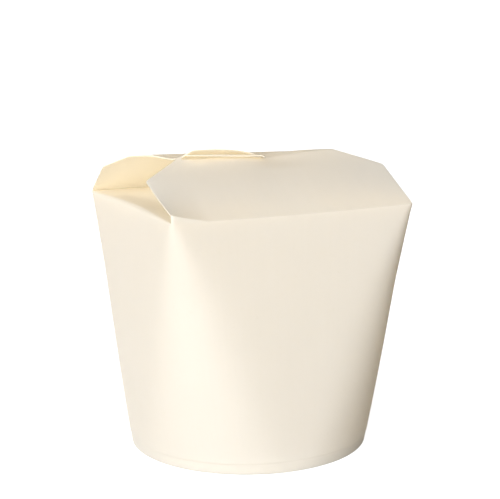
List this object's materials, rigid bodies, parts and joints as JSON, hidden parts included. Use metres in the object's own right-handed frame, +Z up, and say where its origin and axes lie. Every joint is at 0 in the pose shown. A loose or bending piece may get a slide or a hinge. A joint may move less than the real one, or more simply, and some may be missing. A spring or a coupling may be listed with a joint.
{
  "type": "noodle takeaway box",
  "caption": "Closed cream paper board food pail for noodles, round base opening to a squarish rim, side flaps folded in, sloping front and back flaps locked by a tongue through a slot",
  "frame": {"origin": "centre of the round base, on the surface the box stands on", "axes": "+Z up, the front wall with the slotted roof flap faces -Y, +X to the right seen from the front"},
  "size_m": [0.101, 0.0962, 0.1213],
  "materials": {
    "carton_board": "smooth uncoated cream board with a faint satin sheen",
    "base_board": "smooth uncoated cream board"
  },
  "bodies": {
    "root": {"carton": "carton_board", "base_disc": "base_board"}
  },
  "joints": []
}
